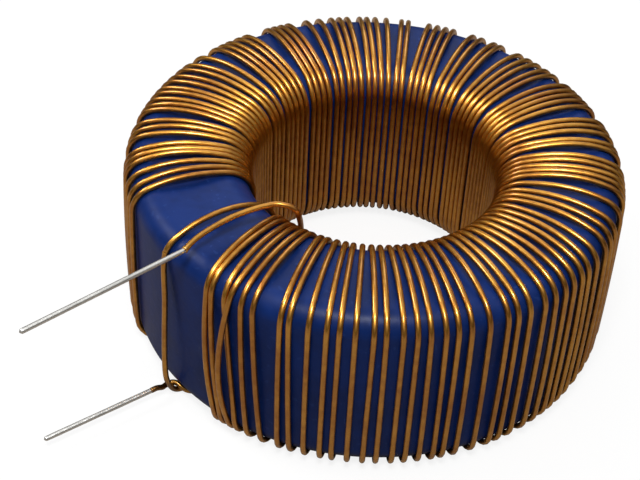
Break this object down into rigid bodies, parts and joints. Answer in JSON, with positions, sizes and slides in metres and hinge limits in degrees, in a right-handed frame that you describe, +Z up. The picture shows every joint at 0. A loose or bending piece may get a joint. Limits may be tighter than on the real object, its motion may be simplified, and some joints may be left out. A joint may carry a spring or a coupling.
{
  "type": "toroidal inductor",
  "caption": "Toroidal inductor: a coated ring core wound with one layer of enamelled copper wire, with two straight tinned ends leaving from one side.",
  "frame": {"origin": "on the axis of the ring's centre hole, in the plane that the winding stands on", "axes": "+Z up along the ring's axis; both tinned ends leave towards -Y; +X to the right when looking along +Y"},
  "size_m": [0.0484, 0.0646, 0.0217],
  "materials": {
    "core_coating": "satin",
    "enamelled_copper": "gloss",
    "tinned_wire": "satin"
  },
  "bodies": {
    "root": {"core": "core_coating", "winding": "enamelled_copper", "tinned_end_lower": "tinned_wire", "tinned_end_upper": "tinned_wire"}
  },
  "joints": []
}
